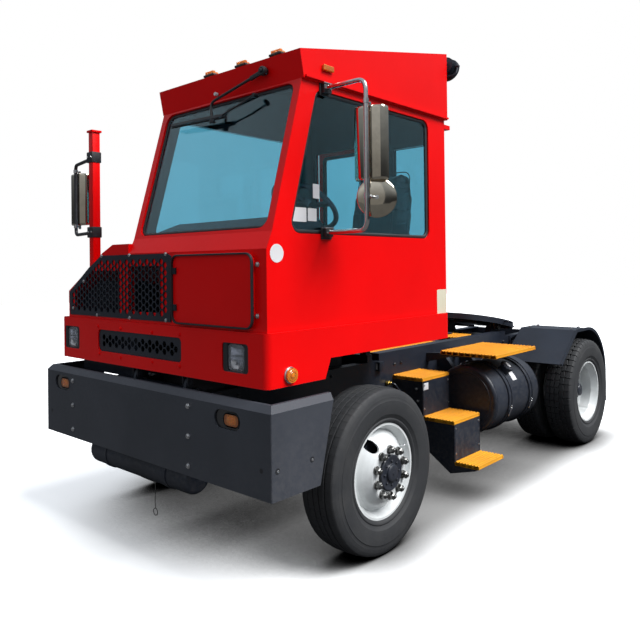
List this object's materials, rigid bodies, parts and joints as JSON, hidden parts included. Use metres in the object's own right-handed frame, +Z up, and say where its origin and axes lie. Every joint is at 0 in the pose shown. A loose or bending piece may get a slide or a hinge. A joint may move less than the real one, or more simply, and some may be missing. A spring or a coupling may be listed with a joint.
{
  "type": "terminal tractor",
  "caption": "A terminal tractor with an offset one-seat cab, engine hood beside it, black bumper, side staircase, fuel tank and lifting fifth wheel over twin rear wheels.",
  "frame": {"origin": "centre of the vehicle's outline in plan, on the ground", "axes": "+X towards the driver's side (vehicle left), +Y rearward, +Z up; the bumper faces -Y"},
  "size_m": [3.0142, 4.996, 3.355],
  "materials": {
    "red_paint": "gloss enamel, lightly dusty",
    "black_paint": "satin black",
    "charcoal_paint": "textured charcoal",
    "yellow_paint": "worn safety yellow",
    "white_paint": "satin white, dusty",
    "tyre_rubber": "matt, dusty",
    "window_glass": "tinted teal",
    "clear_lens": "clear ribbed lens",
    "amber_lens": "amber lens",
    "red_lens": "red lens",
    "cast_iron": "rough cast, greased",
    "bright_steel": "ground rod",
    "chrome": "polished",
    "seat_fabric": "woven",
    "dash_plastic": "grained"
  },
  "bodies": {
    "chassis": {"chassis_frame": "black_paint", "deck_beams": "black_paint", "front_bumper": "charcoal_paint", "bumper_lamps": "amber_lens", "air_tank": "black_paint", "front_axle": "black_paint", "rear_axle": "black_paint", "engine_block": "cast_iron", "radiator": "black_paint", "fuel_tank": "black_paint", "step_frame": "black_paint", "step_treads": "yellow_paint", "fender_left": "black_paint", "fender_right": "black_paint", "tail_lamps": "red_lens", "battery_box": "black_paint", "exhaust_stack": "bright_steel"},
    "cab": {"cab_shell": "red_paint", "lower_band": "red_paint", "hood": "red_paint", "roof": "red_paint", "windshield": "window_glass", "side_windows": "window_glass", "upper_grille": "black_paint", "lower_grille": "black_paint", "headlamps": "clear_lens", "marker_lamps": "amber_lens", "work_light": "black_paint", "mirror_left": "chrome", "mirror_right": "red_paint", "seat": "seat_fabric", "dashboard": "dash_plastic", "controls": "dash_plastic"},
    "service_door": {"access_door": "red_paint"},
    "sliding_door": {"rear_door": "red_paint"},
    "knuckle_l": {"knuckle_left": "cast_iron"},
    "knuckle_r": {"knuckle_right": "cast_iron"},
    "track_rod": {"tie_rod": "black_paint"},
    "wheel_front_l": {"tyre_front_left": "tyre_rubber", "rim_front_left": "white_paint"},
    "wheel_front_r": {"tyre_front_right": "tyre_rubber", "rim_front_right": "white_paint"},
    "wheels_rear_l": {"tyres_rear_left": "tyre_rubber", "rims_rear_left": "white_paint"},
    "wheels_rear_r": {"tyres_rear_right": "tyre_rubber", "rims_rear_right": "white_paint"},
    "lift_boom": {"boom": "black_paint", "boom_plate": "yellow_paint"},
    "coupler": {"fifth_wheel": "black_paint"},
    "barrels": {"lift_barrels": "black_paint"},
    "rods": {"lift_rods": "bright_steel"}
  },
  "joints": [
    {"name": "cab_tilt", "type": "hinge", "parent": "chassis", "child": "cab", "pos_m": [0, -2.388, 1.12], "axis": [1, 0, 0], "range_deg": [0, 45]},
    {"name": "service_door_swing", "type": "hinge", "parent": "cab", "child": "service_door", "pos_m": [0.281, -2.436, 1.68], "axis": [0, 0, -1], "range_deg": [0, 105]},
    {"name": "rear_door_slide", "type": "slide", "parent": "cab", "child": "sliding_door", "axis": [1, 0, 0], "range_m": [0, 0.52]},
    {"name": "steer_left", "type": "hinge", "parent": "chassis", "child": "knuckle_l", "pos_m": [0.88, -1.477, 0.518], "axis": [0, 0, 1], "range_deg": [-35, 35]},
    {"name": "steer_right", "type": "hinge", "parent": "chassis", "child": "knuckle_r", "pos_m": [-0.88, -1.477, 0.518], "axis": [0, 0, 1], "range_deg": [-35, 35]},
    {"name": "track_rod_turn", "type": "hinge", "parent": "knuckle_l", "child": "track_rod", "pos_m": [0.88, -1.277, 0.372], "axis": [0, 0, 1], "range_deg": [-35, 35]},
    {"name": "spin_front_left", "type": "hinge", "parent": "knuckle_l", "child": "wheel_front_l", "pos_m": [1.047, -1.477, 0.518], "axis": [1, 0, 0], "continuous": true},
    {"name": "spin_front_right", "type": "hinge", "parent": "knuckle_r", "child": "wheel_front_r", "pos_m": [-1.047, -1.477, 0.518], "axis": [1, 0, 0], "continuous": true},
    {"name": "spin_rear_left", "type": "hinge", "parent": "chassis", "child": "wheels_rear_l", "pos_m": [0.923, 1.876, 0.518], "axis": [1, 0, 0], "continuous": true},
    {"name": "spin_rear_right", "type": "hinge", "parent": "chassis", "child": "wheels_rear_r", "pos_m": [-0.923, 1.876, 0.518], "axis": [1, 0, 0], "continuous": true},
    {"name": "boom_lift", "type": "hinge", "parent": "chassis", "child": "lift_boom", "pos_m": [0, 0.503, 1.03], "axis": [1, 0, 0], "range_deg": [0, 21]},
    {"name": "coupler_tilt", "type": "hinge", "parent": "lift_boom", "child": "coupler", "pos_m": [0, 1.663, 1.14], "axis": [1, 0, 0], "range_deg": [-9, 18]},
    {"name": "barrel_swing", "type": "hinge", "parent": "chassis", "child": "barrels", "pos_m": [0, 1.023, 0.7], "axis": [1, 0, 0], "range_deg": [0, 25]},
    {"name": "rod_slide", "type": "slide", "parent": "barrels", "child": "rods", "axis": [0, 0.8293, 0.5589], "range_m": [0, 0.23]}
  ],
  "couplings": [
    {"joint": "steer_right", "follows": "steer_left", "ratio": 1},
    {"joint": "track_rod_turn", "follows": "steer_left", "ratio": -1},
    {"joint": "barrel_swing", "follows": "boom_lift", "ratio": 1.178},
    {"joint": "rod_slide", "follows": "boom_lift", "m_per_rad": 0.5995}
  ]
}
